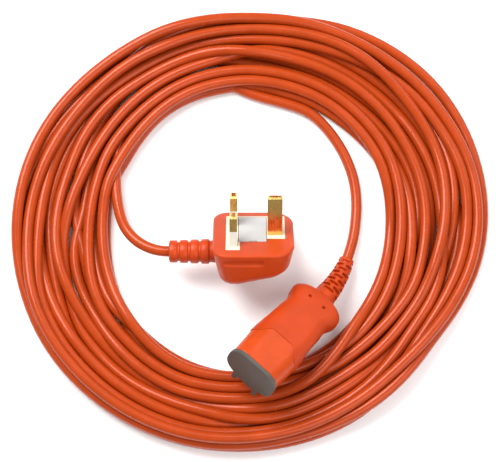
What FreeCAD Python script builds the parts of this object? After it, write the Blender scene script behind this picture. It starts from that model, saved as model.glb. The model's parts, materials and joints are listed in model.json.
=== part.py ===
"""Mains lead for a lawn mower: a 13 A plug, a loose flat coil of two-core cable, and a two-pin connector
whose mouth is closed by a sprung lid.

The plug and the connector are each modelled in a frame of their own and then posed beside the coil:
  plug frame       +X away from the cable, +Z along the pins, the pins' face at z = 0
  connector frame  +X out of the mouth, the mouth's centre at the origin, the hinge on the -Z side
The row's frame has +Z up and the surface that the lead lies on at z = 0.
"""

import FreeCAD
import Part

import math
import os
import re

V = FreeCAD.Vector

SIZES = {
    # cable
    "cord_dia": 6.0, "core_dia": 2.0, "core_pitch": 2.8, "straight_out": 9.6,
    # coil: half axes of the ring, low rim and higher middle
    "coil_x": -7.205, "coil_y": 38.16,
    "coil_out_x": 128.0, "coil_out_y": 121.0, "coil_in_x": 74.5, "coil_in_y": 79.0,
    "coil_low": 8.0, "coil_tall": 13.5, "coil_step": 11.0,
    # plug shell
    "plug_long": 44.2, "plug_wide": 48.0, "plug_deep": 22.0, "plug_end_deep": 14.0,
    "plug_draft": 4.4, "cable_corner": 8.0, "earth_corner": 12.0, "plug_edge": 6.0, "face_edge": 1.2,
    "slope_from": -8.0, "grip_radius": 3.0, "grip_depth": 0.9, "grip_from": -15.0,
    "grip_long": 19.0, "grip_down": 6.0,
    # pins
    "line_x": -10.6, "line_gap": 22.2, "line_wide": 6.35, "line_thick": 4.0, "line_out": 17.7,
    "earth_x": 11.6, "earth_wide": 8.0, "earth_thick": 4.0, "earth_out": 22.7,
    "pin_in": 11.4, "pin_tip": 0.9, "sleeve_long": 9.0, "sleeve_wall": 0.5,
    # card on the face
    "card_thick": 0.5, "card_in_x": 7.2, "card_from_x": -14.7, "card_to_x": 17.0,
    "card_far": 18.6, "card_near": 5.8, "card_bar": 17.7,
    # inner moulding of the plug
    "core_from_x": -15.5, "core_to_x": 16.6, "core_near": 15.5, "core_far": 19.4,
    "core_top": 1.5, "core_floor": 12.0, "core_corner": 2.0, "core_end_corner": 7.0,
    # fuse and its carrier
    "fuse_dia": 6.3, "fuse_long": 25.4, "fuse_cap_long": 5.5, "fuse_neck": 5.8, "fuse_mid": 4.5,
    "fuse_down": 6.0, "carrier_wide": 14.9, "carrier_x": -0.45, "carrier_long": 26.4,
    "carrier_thick": 1.3, "carrier_rest": 0.1, "carrier_gap": 0.3, "grip_block": 12.0,
    "block_wide": 8.4, "block_down": 7.6,
    "notch_wide": 4.0, "notch_deep": 0.9,
    # fuse clips and crimps
    "clip_long": 5.0, "clip_gap": 0.3, "clip_metal": 0.5, "clip_tall": 5.6, "crimp_dia": 2.8,
    "crimp_long": 4.5,
    # strain relief of the plug
    "relief_long": 23.5, "relief_root": 13.4, "relief_tip": 12.0, "relief_in": 5.0,
    "cable_down": 11.35, "relief_rings": 4, "ring_high": 0.7,
    # connector shells
    "mouth_wide": 29.2, "back_wide": 31.0, "mouth_tall": 19.5, "mouth_corner": 8.0, "shell_wall": 2.0,
    "shroud_long": 21.5, "shell_long": 64.0, "insert_base": 4.5,
    "boss_front": 9.5, "boss_wide": 9.0, "boss_tall": 12.0, "boss_gap": 2.0,
    "slot_wide": 2.6, "slot_tall": 7.5, "contact_gap": 0.2, "contact_metal": 0.6,
    "contact_long": 16.0, "dot_dia": 1.6, "dot_gap": 9.6, "dot_back": 52.5,
    "inner_from": 21.5, "inner_to": 44.0, "inner_wide": 22.0, "inner_tall": 12.5, "inner_corner": 3.0,
    "dish_radius": 11.8, "dish_back": 23.0, "dish_below": 22.05, "dot_deep": 2.2,
    # hinge and lid
    "pin_back": 8.0, "pin_below": 4.5, "hinge_dia": 2.5, "hinge_bore": 1.2, "hinge_long": 24.4,
    "hinge_play": 0.05, "ear_at": 10.1, "ear_thick": 3.0, "ear_radius": 4.4, "ear_foot": 6.5,
    "arm_at": 6.9, "arm_thick": 2.6, "arm_radius": 3.6, "lid_wide": 30.4, "lid_tall": 21.0,
    "lid_corner": 8.6, "lid_thick": 2.0, "lid_gap": 0.3, "web_thick": 2.0, "web_long": 4.4,
    "tongue_down": 6.5, "tongue_plate": 2.6, "seal_wide": 24.0, "seal_low": 5.8,
    "seal_high": 7.0, "seal_deep": 1.5,
    "spring_out": 5.4, "spring_in": 3.6, "spring_long": 8.0,
    "guard_wide": 19.0, "guard_tall": 6.8, "guard_foot": 1.2, "guard_to": 30.0,
    # boot of the connector
    "boot_long": 26.0, "boot_root": 12.8, "boot_tip": 8.0, "boot_heading": 70.0, "boot_dip": 9.0,
    # poses
    "plug_at_x": 2.4, "plug_at_y": -4.6, "plug_at_z": 27.64, "pins_up": 42.0,
    "mouth_at_x": 2.2, "mouth_at_y": -80.4, "mouth_at_z": 39.3,
    "nose_turn": 41.6, "nose_up": 23.0,
}

doc = FreeCAD.newDocument("mower_lead")
sheet = doc.addObject("Spreadsheet::Sheet", "Sizes")
for row, (alias, number) in enumerate(SIZES.items(), start=1):
    sheet.set(f"A{row}", alias)
    sheet.set(f"B{row}", str(number))
    sheet.setAlias(f"B{row}", alias)
doc.recompute()


def size(alias):
    """A driving dimension, read back from the sheet."""
    return float(sheet.get(alias))


def formula(text):
    """A formula on the sheet's cells, from one that names the cells alone."""
    return re.sub(r"[a-z]\w*", lambda word: "Sizes." + word.group(0), str(text))


def bind(thing, **formulas):
    for prop, text in formulas.items():
        thing.setExpression(prop, formula(text))
    return thing


def move(thing, x=0, y=0, z=0):
    """Binds the thing's position to the sheet."""
    for axis, text in (("x", x), ("y", y), ("z", z)):
        thing.setExpression(f"Placement.Base.{axis}", formula(text))
    return thing


def block(name, low, sides):
    """A box from its low corner and its three sides, each a formula."""
    box = bind(doc.addObject("Part::Box", name), Length=sides[0], Width=sides[1], Height=sides[2])
    return move(box, *low)


TURNS = {
    "x": FreeCAD.Rotation(V(0, 1, 0), 90),
    "y": FreeCAD.Rotation(V(1, 0, 0), -90),
    "z": FreeCAD.Rotation(),
}


def rod(name, start, along, radius, length):
    """A cylinder from the centre of its first end, along +X, +Y or +Z."""
    cylinder = bind(doc.addObject("Part::Cylinder", name), Radius=radius, Height=length)
    cylinder.Placement = FreeCAD.Placement(V(), TURNS[along])
    return move(cylinder, *start)


def fused(name, pieces):
    whole = doc.addObject("Part::MultiFuse", name)
    whole.Shapes = pieces
    return whole


def cut(name, base, tools):
    """The base less all the tools."""
    result = doc.addObject("Part::Cut", name)
    result.Base = base
    result.Tool = tools[0] if len(tools) == 1 else fused(name + "_tools", tools)
    return result


def solid(name, shape):
    """A piece whose shape needs Part's own functions."""
    feature = doc.addObject("Part::Feature", name)
    feature.Shape = shape
    return feature


outputs = []


def output(label, source, pose):
    """The finished sub-part: its source at the pose that it has in the assembly."""
    piece = doc.addObject("Part::Refine", "piece_" + label)
    piece.Source = source
    piece.Label = label
    piece.Placement = pose
    outputs.append(piece)


def pose_of(centre, x_axis, z_axis):
    """A placement from its origin and two of its axes, moved with the coil's centre."""
    y_axis = z_axis.cross(x_axis)
    turn = FreeCAD.Rotation(x_axis, y_axis, z_axis, "ZXY")
    return FreeCAD.Placement(centre + V(size("coil_x"), size("coil_y"), 0), turn)


def degrees(alias):
    return math.radians(size(alias))


def plug_pose():
    lift = degrees("pins_up")
    centre = V(size("plug_at_x"), size("plug_at_y"), size("plug_at_z"))
    return pose_of(centre, V(1, 0, 0), V(0, math.cos(lift), math.sin(lift)))


def connector_pose():
    turn, lift = degrees("nose_turn"), degrees("nose_up")
    flat = V(-math.sin(turn), -math.cos(turn), 0)
    nose = flat * math.cos(lift) + V(0, 0, 1) * math.sin(lift)
    upright = V(0, 0, 1) * math.cos(lift) - flat * math.sin(lift)
    centre = V(size("mouth_at_x"), size("mouth_at_y"), size("mouth_at_z"))
    return pose_of(centre, nose, upright)


PLUG = plug_pose()
CONNECTOR = connector_pose()
LIES = FreeCAD.Placement(V(size("coil_x"), size("coil_y"), 0), FreeCAD.Rotation())


# ---- shapes that several sub-parts use ----

def rounded_wire(low, high, radii, place):
    """A rectangle with a corner radius for each corner, anticlockwise from the low corner, where
    place(u, v) gives the point in space."""
    corners = [(low[0], low[1]), (high[0], low[1]), (high[0], high[1]), (low[0], high[1])]
    back_ways = [(0, 1), (-1, 0), (0, -1), (1, 0)]
    on_ways = [(1, 0), (0, 1), (-1, 0), (0, -1)]
    arcs = []
    for (u, v), radius, (bu, bv), (du, dv) in zip(corners, radii, back_ways, on_ways):
        reach = radius * (1 - math.sqrt(0.5))
        arcs.append((place(u + bu * radius, v + bv * radius),
                     place(u + (bu + du) * reach, v + (bv + dv) * reach),
                     place(u + du * radius, v + dv * radius)))
    edges = []
    for arc, following in zip(arcs, arcs[1:] + arcs[:1]):
        edges.append(Part.Arc(*arc).toShape())
        edges.append(Part.LineSegment(arc[-1], following[0]).toShape())
    return Part.Wire(edges)


def oblong(back, wide, tall, corner, middle=0.0):
    """A rounded rectangle across the connector, so far behind its mouth."""
    low, high = (-wide / 2, middle - tall / 2), (wide / 2, middle + tall / 2)
    return rounded_wire(low, high, [corner] * 4, lambda u, v: V(-back, u, v))


def prism(wire, along):
    return Part.Face(wire).extrude(along)


def polygon_prism(points, along):
    return prism(Part.makePolygon(points + points[:1]), along)


def tangent_point(centre, radius, outside, side):
    """Where the line from the outside point touches the circle, in the XZ plane."""
    away = outside - centre
    reach = math.acos(radius / away.Length)
    angle = math.atan2(away.z, away.x) + side * reach
    return centre + V(math.cos(angle), 0, math.sin(angle)) * radius


def lug(centre, radius, feet, y_from, thick):
    """A plate along Y: a round end about the centre, and straight sides to the two feet."""
    front = tangent_point(centre, radius, feet[0], -1)
    back = tangent_point(centre, radius, feet[1], 1)
    far = centre - (feet[0] + feet[1] - centre * 2).normalize() * radius
    edges = [
        Part.LineSegment(feet[0], front).toShape(),
        Part.Arc(front, far, back).toShape(),
        Part.LineSegment(back, feet[1]).toShape(),
        Part.LineSegment(feet[1], feet[0]).toShape(),
    ]
    plate = prism(Part.Wire(edges), V(0, thick, 0))
    plate.translate(V(0, y_from, 0))
    return plate


def route_wire(points):
    """Straight runs joined by tangent arcs, each as large as its two runs allow."""
    share = 0.45
    edges, radii, start = [], [], points[0]
    for before, corner, after in zip(points, points[1:], points[2:]):
        into, out = (corner - before), (after - corner)
        half = into.getAngle(out) / 2
        reach = share * min(into.Length, out.Length)
        into.normalize()
        out.normalize()
        radius = reach / math.tan(half)
        first, last = corner - into * reach, corner + out * reach
        towards = (out - into).normalize()
        middle = corner + towards * (radius / math.cos(half) - radius)
        edges.append(Part.LineSegment(start, first).toShape())
        edges.append(Part.Arc(first, middle, last).toShape())
        radii.append(radius)
        start = last
    edges.append(Part.LineSegment(start, points[-1]).toShape())
    return Part.Wire(edges), radii


def tube(name, points, diameter):
    """A round cord along the route, its volume compared with its section times its length."""
    wire, radii = route_wire(points)
    heading = points[1] - points[0]
    ring = Part.Wire(Part.makeCircle(diameter / 2, points[0], heading))
    shape = wire.makePipeShell([ring], True, False)
    ideal = math.pi * diameter ** 2 / 4 * wire.Length
    print(f"{name}: {wire.Length:.1f} mm, radii", [round(r, 1) for r in radii],
          f"volume {shape.Volume:.1f} of {ideal:.1f}")
    return solid(name, shape)


# ---- cable ----

def coil_ring(name, inset, height):
    """A flat elliptical ring."""
    outer = bind(doc.addObject("Part::Ellipse", name + "_outer"),
                 MajorRadius=f"coil_out_x - {inset}", MinorRadius=f"coil_out_y - {inset}")
    inner = bind(doc.addObject("Part::Ellipse", name + "_inner"),
                 MajorRadius=f"coil_in_y + {inset}", MinorRadius=f"coil_in_x + {inset}")
    inner.Placement = FreeCAD.Placement(V(), FreeCAD.Rotation(V(0, 0, 1), 90))
    discs = []
    for ellipse in (outer, inner):
        disc = doc.addObject("Part::Extrusion", ellipse.Name + "_disc")
        disc.Base, disc.Dir, disc.Solid = ellipse, V(0, 0, 1), True
        discs.append(bind(disc, LengthFwd=height))
    return cut(name, discs[0], [discs[1]])


def cable_coil():
    low = coil_ring("coil_low_ring", 0, "coil_low")
    tall = coil_ring("coil_tall_ring", "coil_step", "coil_tall")
    output("cable_coil", fused("coil_whole", [low, tall]), LIES)


PLUG_ROUTE = [(-62.8, -11.2, 19.2), (-72.2, -6.4, 17.2), (-79.4, 1.4, 14.6), (-84.0, 11.2, 11.8),
              (-86.2, 21.8, 9.2)]
CONNECTOR_ROUTE = [(59.4, 6.6, 3.6), (60.0, 18.6, 3.0), (58.2, 31.0, 3.0), (54.0, 43.0, 3.0),
                   (47.7, 54.4, 3.0), (39.6, 65.0, 3.0)]


def boot_arc():
    """The boot's centre line about the coil, as its place and heading at an angle, and its whole turn."""
    start = CONNECTOR.multVec(V(-size("shell_long"), 0, 0)) - LIES.Base
    heading = CONNECTOR.Rotation.multVec(V(-1, 0, 0))
    round_to, dip = degrees("boot_heading"), degrees("boot_dip")
    leaving = V(math.cos(round_to) * math.cos(dip), math.sin(round_to) * math.cos(dip), -math.sin(dip))
    turn = heading.getAngle(leaving)
    radius = size("boot_long") / turn
    side = (leaving - heading * math.cos(turn)).normalize()

    def at(angle):
        return start + heading * radius * math.sin(angle) + side * radius * (1 - math.cos(angle))

    def way(angle):
        return heading * math.cos(angle) + side * math.sin(angle)

    return at, way, turn


def tails():
    exit_at = V(-size("plug_long") / 2 - size("relief_long"), 0, -size("cable_down"))
    start = PLUG.multVec(exit_at) - LIES.Base
    route = [start, start - V(size("straight_out"), 0, 0)] + [V(*point) for point in PLUG_ROUTE]
    output("plug_tail", tube("tail_at_plug", route, size("cord_dia")), LIES)
    at, way, turn = boot_arc()
    straight = at(turn) + way(turn) * size("straight_out")
    route = [at(turn), straight] + [V(*point) for point in CONNECTOR_ROUTE]
    output("connector_tail", tube("tail_at_connector", route, size("cord_dia")), LIES)


# ---- plug ----

def plug_shell():
    """The overmoulded cover: it narrows towards the back, and the back slopes up to the earth end."""
    half_long, half_wide = size("plug_long") / 2, size("plug_wide") / 2
    near, far = size("cable_corner"), size("earth_corner")
    outlines = []
    for depth, inset in ((0.0, 0.0), (size("plug_deep"), size("plug_draft"))):
        low, high = (-half_long + inset, -half_wide + inset), (half_long - inset, half_wide - inset)
        radii = [near, far, far, near]
        outline = rounded_wire(low, high, radii, lambda u, v, z=-depth: V(u, v, z))
        outlines.append(solid(f"plug_outline_{len(outlines)}", outline))
    loft = doc.addObject("Part::Loft", "plug_loft")
    loft.Sections, loft.Solid, loft.Ruled = outlines, True, True
    deep, end = size("plug_deep"), size("plug_end_deep")
    wedge = [V(size("slope_from"), -half_wide - 1, -deep), V(half_long + 1, -half_wide - 1, -end),
             V(half_long + 1, -half_wide - 1, -deep - 1), V(size("slope_from"), -half_wide - 1, -deep - 1)]
    slope = solid("plug_slope", polygon_prism(wedge, V(0, size("plug_wide") + 2, 0)))
    sloped = cut("plug_sloped", loft, [slope])
    doc.recompute()
    softened = doc.addObject("Part::Fillet", "plug_softened")
    softened.Base = sloped
    edges = list(enumerate(sloped.Shape.Edges, start=1))
    backs = [n for n, edge in edges if edge.BoundBox.ZMax < -end + 0.5
             and edge.CenterOfMass.z < -end - 0.05 and not is_crease(edge)]
    faces = [n for n, edge in edges if edge.BoundBox.ZMin > -0.01]
    softened.Edges = [(n, radius, radius) for group, radius in
                      ((backs, size("plug_edge")), (faces, size("face_edge"))) for n in group]
    return softened


def is_crease(edge):
    """The straight line across the back where its slope begins."""
    box = edge.BoundBox
    return box.XLength < 0.01 and box.ZLength < 0.01 and abs(edge.CenterOfMass.x - size("slope_from")) < 0.01


def grip(name, side):
    """A shallow finger groove along one side wall of the plug."""
    radius, depth = size("grip_radius"), size("grip_depth")
    lean = size("plug_draft") / size("plug_deep")
    down = size("grip_down")
    wall = size("plug_wide") / 2 - lean * down
    start = V(size("grip_from"), side * (wall + radius - depth), -down)
    bar = Part.makeCylinder(radius, size("grip_long"), start, V(1, 0, 0))
    end = start + V(size("grip_long"), 0, 0)
    return solid(name, bar.fuse([Part.makeSphere(radius, start), Part.makeSphere(radius, end)]))


def flat_pin(name, x, y, along_x, along_y, out):
    """A flat pin with its tip's edges chamfered, for use as a tool too."""
    bar = block(name + "_bar", (f"{x} - {along_x} / 2", f"{y} - {along_y} / 2", "-pin_in"),
                (along_x, along_y, f"pin_in + {out}"))
    doc.recompute()
    tip = doc.addObject("Part::Chamfer", name + "_tip")
    tip.Base = bar
    top = bar.Shape.BoundBox.ZMax
    high = [n for n, edge in enumerate(bar.Shape.Edges, start=1) if edge.BoundBox.ZMin > top - 0.01]
    tip.Edges = [(n, size("pin_tip"), size("pin_tip")) for n in high]
    return tip


def line_pin(name, y):
    return flat_pin(name, "line_x", y, "line_thick", "line_wide", "line_out")


def sleeve(name, y):
    """The insulating sleeve of a line pin, flush with the pin."""
    whole = block(name + "_outside", ("line_x - line_thick / 2", f"{y} - line_wide / 2", "0"),
                  ("line_thick", "line_wide", "sleeve_long"))
    hollow = block(name + "_inside",
                   ("line_x - line_thick / 2 + sleeve_wall", f"{y} - line_wide / 2 + sleeve_wall", "0"),
                   ("line_thick - 2 * sleeve_wall", "line_wide - 2 * sleeve_wall", "sleeve_long"))
    return cut(name, whole, [hollow])


def card_outline():
    """The face's card: a bar along the line pins and a panel from there to the earth pin."""
    left, right, bar = size("card_from_x"), size("card_to_x"), -size("card_in_x")
    near, far, low = -size("card_near"), size("card_far"), -size("card_bar")
    points = [(left, low), (bar, low), (bar, near), (right, near), (right, far), (left, far)]
    flat = [V(x, y, -size("card_thick")) for x, y in points]
    return polygon_prism(flat, V(0, 0, size("card_thick")))


FUSE_START = "fuse_mid - fuse_long / 2"
CARRIER_START = "fuse_mid - carrier_long / 2"
CLIP_SIDE = "(fuse_dia / 2 + clip_gap + clip_metal)"
CLIP_FLOOR = f"-fuse_down - {CLIP_SIDE}"


def clip(name, y_low):
    """A fuse clip: a floor under the fuse and two springy arms beside it."""
    floor = block(name + "_floor", (f"-{CLIP_SIDE}", y_low, CLIP_FLOOR),
                  (f"2 * {CLIP_SIDE}", "clip_long", "clip_metal"))
    left = block(name + "_left", (f"-{CLIP_SIDE}", y_low, CLIP_FLOOR),
                 ("clip_metal", "clip_long", "clip_tall"))
    right = block(name + "_right", (f"{CLIP_SIDE} - clip_metal", y_low, CLIP_FLOOR),
                  ("clip_metal", "clip_long", "clip_tall"))
    return floor, left, right


def pins_and_sleeves():
    """The three pins as they show, the two sleeves, and the whole pins that the mouldings are cut by."""
    live_y, neutral_y = "line_gap / 2", "-line_gap / 2"
    sleeves = [sleeve("sleeve_of_live", live_y), sleeve("sleeve_of_neutral", neutral_y)]
    pins = [
        cut("pin_live", line_pin("live", live_y), sleeves[:1]),
        cut("pin_neutral", line_pin("neutral", neutral_y), sleeves[1:]),
        flat_pin("earth", "earth_x", "0", "earth_wide", "earth_thick", "earth_out"),
    ]
    for name, piece in zip(("live_pin", "neutral_pin", "earth_pin"), pins):
        output(name, piece, PLUG)
    for name, piece in zip(("live_sleeve", "neutral_sleeve"), sleeves):
        output(name, piece, PLUG)
    return pins, sleeves


def fuse():
    """The cartridge fuse: a ceramic body between two metal caps."""
    body = rod("fuse_ceramic", ("0", f"{FUSE_START} + fuse_cap_long", "-fuse_down"), "y",
               "fuse_neck / 2", "fuse_long - 2 * fuse_cap_long")
    caps = [rod(f"fuse_cap_{end}", ("0", y, "-fuse_down"), "y", "fuse_dia / 2", "fuse_cap_long")
            for end, y in (("low", FUSE_START), ("high", f"{FUSE_START} + fuse_long - fuse_cap_long"))]
    output("fuse_body", body, PLUG)
    output("fuse_end_caps", fused("both_fuse_caps", caps), PLUG)


def fuse_carrier():
    """The cap that draws the fuse out, with the block that holds the fuse by its middle."""
    plate = block("carrier_plate", ("carrier_x - carrier_wide / 2", CARRIER_START, "-carrier_thick"),
                  ("carrier_wide", "carrier_long", "carrier_thick"))
    block_start = "fuse_mid - grip_block / 2"
    hub = block("carrier_block", ("-block_wide / 2", block_start, "-block_down"),
                ("block_wide", "grip_block", "block_down - carrier_thick"))
    bore = rod("carrier_bore", ("0", f"{block_start} - 1", "-fuse_down"), "y",
               "fuse_neck / 2 + 0.1", "grip_block + 2")
    mouth = block("carrier_mouth", ("-fuse_neck / 2 + 0.4", f"{block_start} - 1", "-block_down - 1"),
                  ("fuse_neck - 0.8", "grip_block + 2", "block_down + 1 - fuse_down"))
    notch = block("carrier_notch", ("-notch_wide / 2", f"{CARRIER_START} - 1", "-notch_deep"),
                  ("notch_wide", "notch_deep + 1", "notch_deep + 1"))
    output("fuse_carrier", cut("carrier", fused("carrier_solid", [plate, hub]), [bore, mouth, notch]), PLUG)


def carrier_space():
    """The shallow recess that the carrier's cap lies in, and the shaft under it for the fuse."""
    recess = block("carrier_recess",
                   ("carrier_x - carrier_wide / 2 - carrier_gap", f"{CARRIER_START} - carrier_gap",
                    "-carrier_thick - carrier_rest"),
                   ("carrier_wide + 2 * carrier_gap", "carrier_long + 2 * carrier_gap", "core_floor"))
    shaft = block("carrier_shaft", ("-block_wide / 2 - carrier_gap", f"{CARRIER_START} - carrier_gap",
                                    f"{CLIP_FLOOR} + clip_metal"),
                  ("block_wide + 2 * carrier_gap", "carrier_long + 2 * carrier_gap", "core_floor"))
    return [recess, shaft]


def fuse_clips():
    """The clip on the live pin and the clip on the cable, each with its strap."""
    high_y = "fuse_mid + fuse_long / 2 - clip_long - clip_gap"
    low_y = "fuse_mid - fuse_long / 2 + clip_gap"
    strap = block("live_strap", ("line_x + line_thick / 2", high_y, CLIP_FLOOR),
                  (f"-line_x - line_thick / 2 - {CLIP_SIDE}", "clip_long / 2", "clip_metal"))
    tongue = block("cable_strap", (f"-{CLIP_SIDE}", f"{low_y} + clip_long", CLIP_FLOOR),
                   ("clip_long / 2", f"core_pitch / 2 - ({low_y}) - clip_long + crimp_dia / 2", "clip_metal"))
    clips = [fused("clip_on_live", [*clip("clip_high", high_y), strap]),
             fused("clip_on_cable", [*clip("clip_low", low_y), tongue])]
    output("fuse_clip_live", clips[0], PLUG)
    output("fuse_clip_cable", clips[1], PLUG)
    return clips


def crimps_and_cores():
    """The two cores from the end of the sheath, and a crimp on each."""
    down = "-cable_down"
    crimps = [
        rod("crimp_on_live", (f"-{CLIP_SIDE}", "core_pitch / 2", down), "x", "crimp_dia / 2", "crimp_long"),
        rod("crimp_on_neutral", ("line_x", "-line_gap / 2 + line_wide / 2", down), "y",
            "crimp_dia / 2", "crimp_long"),
    ]
    level, half = -size("cable_down"), size("core_pitch") / 2
    from_x, to_clip = size("core_from_x") - 1.5, -size("fuse_dia") / 2 - size("clip_gap") - size("clip_metal")
    neutral_x, neutral_y = size("line_x"), -(size("line_gap") - size("line_wide")) / 2 + size("crimp_long")
    to_fuse = [V(from_x, half, level), V(to_clip, half, level)]
    to_neutral = [V(from_x, -half, level), V(neutral_x, -half, level), V(neutral_x, neutral_y, level)]
    cores = [tube("core_to_fuse", to_fuse, size("core_dia")),
             tube("core_to_neutral", to_neutral, size("core_dia"))]
    names = ("crimp_live", "crimp_neutral", "plug_core_brown", "plug_core_blue")
    for name, piece in zip(names, crimps + cores):
        output(name, piece, PLUG)
    return [*crimps, *cores]


def plug_pieces():
    """Every piece of the plug, from the pins inwards to the cover that all of them cut."""
    pins, sleeves = pins_and_sleeves()
    fuse()
    fuse_carrier()
    clips = fuse_clips()
    wiring = crimps_and_cores()

    jacket = rod("jacket_in_plug", ("-plug_long / 2 - relief_long", "0", "-cable_down"), "x",
                 "cord_dia / 2", "core_from_x - 1.5 + plug_long / 2 + relief_long")
    output("plug_cable_end", jacket, PLUG)
    relief = strain_relief()
    output("plug_strain_relief", cut("relief_hollow", relief, [jacket]), PLUG)

    space = carrier_space()
    low, high = (size("core_from_x"), -size("core_near")), (size("core_to_x"), size("core_far"))
    near, far = size("core_corner"), size("core_end_corner")
    outline = rounded_wire(low, high, [near, far, far, near], lambda u, v: V(u, v, -size("core_floor")))
    moulding = solid("core_block", prism(outline, V(0, 0, size("core_floor") - size("core_top"))))
    output("plug_core", cut("core_moulding", moulding, [*pins, *clips, *wiring, jacket, *space]), PLUG)
    card = solid("card_blank", card_outline())
    output("face_card", cut("card", card, [*pins, *sleeves, *space]), PLUG)
    grips = [grip("grip_near", -1), grip("grip_far", 1)]
    buried = [*pins, jacket, relief, *space, moulding, card, *wiring, *grips]
    output("plug_body", cut("plug_cover", plug_shell(), buried), PLUG)


def strain_relief():
    """A tapered sleeve with raised rings, round the cable."""
    root, tip = size("relief_root") / 2, size("relief_tip") / 2
    start, end = -size("plug_long") / 2 + size("relief_in"), -size("plug_long") / 2 - size("relief_long")
    level, high, rings = -size("cable_down"), size("ring_high"), int(size("relief_rings"))
    body = Part.makeCone(root, tip - high, start - end, V(start, 0, level), V(-1, 0, 0))
    pitch = size("relief_long") / rings
    for ring in range(rings):
        x = end + pitch * (ring + 0.25)
        radius = tip + (root - tip) * (x - end) / (start - end)
        body = body.fuse(Part.makeCylinder(radius, pitch * 0.5, V(x, 0, level), V(1, 0, 0)))
    lip = Part.makeCylinder(tip - 0.1, pitch * 0.2, V(end, 0, level), V(1, 0, 0))
    return solid("relief", body.fuse(lip).removeSplitter())


# ---- connector ----

# The rear cover between its two ends: how far behind the mouth, width, height and corner radius.
REAR_SECTIONS = [(32.0, 29.8, 19.2, 7.6), (44.0, 27.6, 18.4, 7.0), (49.0, 28.6, 17.8, 6.8),
                 (53.5, 30.6, 17.0, 6.6), (57.5, 28.4, 16.0, 6.4), (60.5, 19.5, 14.6, 6.0)]
REAR_END = (13.4, 13.0, 6.0)
HINGE = V(-size("pin_back"), 0, -size("mouth_tall") / 2 - size("pin_below"))


def mouth_section(inset):
    """The mouth's outline at the back of the shroud, so far in from the rim's outer edge."""
    wide, tall, corner = (size(n) for n in ("mouth_wide", "mouth_tall", "mouth_corner"))
    return oblong(size("shroud_long"), wide - 2 * inset, tall - 2 * inset, corner - inset)


def sockets():
    """Two D-shaped bosses on a base that closes the back of the mouth, and a contact in each."""
    base = prism(mouth_section(size("shell_wall")), V(size("insert_base"), 0, 0))
    insert = solid("insert_blank", base.fuse([boss(side) for side in (-1, 1)]).removeSplitter())
    contacts = [contact(name, side) for name, side in (("contact_on_live", 1), ("contact_on_neutral", -1))]
    slots = [solid(f"socket_slot_{n}", slot(side)) for n, side in enumerate((1, -1))]
    output("socket_insert", cut("insert", insert, slots), CONNECTOR)
    for name, piece in zip(("contact_live", "contact_neutral"), contacts):
        output(name, piece, CONNECTOR)
    return contacts


def connector_inside(contacts):
    """The inner moulding behind the sockets, with the contacts' tails, crimps and cores in it."""
    long = size("inner_to") - size("inner_from")
    section = oblong(size("inner_to"), size("inner_wide"), size("inner_tall"), size("inner_corner"))
    moulding = solid("inner_blank", prism(section, V(long, 0, 0)))
    apart = size("boss_gap") / 2 + size("boss_wide") / 2
    crimp_at = -size("shroud_long") + size("insert_base") - size("contact_long") - size("crimp_long")
    crimps = [rod(f"crimp_{n}", (str(crimp_at), str(y), "0"), "x", "crimp_dia / 2", "crimp_long")
              for n, y in (("on_contact_live", apart), ("on_contact_neutral", -apart))]
    output("contact_crimps", fused("both_crimps", crimps), CONNECTOR)
    jacket_end, half = -size("inner_to") - 4.0, size("core_pitch") / 2
    cores = []
    for name, side in (("core_live_back", 1), ("core_neutral_back", -1)):
        points = [V(jacket_end, side * half, 0), V(jacket_end + 6.5, side * half, 0),
                  V(crimp_at - 5.0, side * apart, 0), V(crimp_at, side * apart, 0)]
        cores.append(tube(name, points, size("core_dia")))
    output("connector_core_brown", cores[0], CONNECTOR)
    output("connector_core_blue", cores[1], CONNECTOR)
    jacket = rod("jacket_in_connector", ("-shell_long", "0", "0"), "x", "cord_dia / 2",
                 f"shell_long + {jacket_end}")
    output("connector_cable_end", jacket, CONNECTOR)
    output("connector_core", cut("inner_moulding", moulding, [*contacts, *crimps, *cores]), CONNECTOR)
    return [moulding, *cores, jacket]


def across_hinge(diameter, long):
    """A cylinder on the hinge's axis, evenly to both sides."""
    return Part.makeCylinder(size(diameter) / 2, size(long), HINGE - V(0, size(long) / 2, 0), V(0, 1, 0))


def shroud():
    """The open mouth, a little narrower at its rim, and the ears that hold the hinge pin."""
    long, low, foot = size("shroud_long"), -size("mouth_tall") / 2 + 2.5, size("ear_foot")
    feet = (V(HINGE.x + foot, 0, low), V(HINGE.x - foot, 0, low))
    thick = size("ear_thick")
    ears = [lug(HINGE, size("ear_radius"), feet, side * size("ear_at") - thick / 2, thick)
            for side in (-1, 1)]
    tall, corner = size("mouth_tall"), size("mouth_corner")
    ends = [oblong(long, size("back_wide"), tall, corner), oblong(0, size("mouth_wide"), tall, corner)]
    outer = round_rim(Part.makeLoft(ends, True, True).fuse(ears))
    hole = prism(mouth_section(size("shell_wall")), V(long + 1, 0, 0))
    whole = outer.cut([hole, across_hinge("hinge_dia", "hinge_long")])
    output("connector_shroud", solid("shroud", whole), CONNECTOR)


def hinge_pin_and_spring():
    pin = across_hinge("hinge_dia", "hinge_long").cut(across_hinge("hinge_bore", "hinge_long"))
    output("hinge_pin", solid("hinge_tube", pin), CONNECTOR)
    spring = across_hinge("spring_out", "spring_long").cut(across_hinge("spring_in", "spring_long"))
    output("torsion_spring", solid("spring_coil", spring), CONNECTOR)


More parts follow.
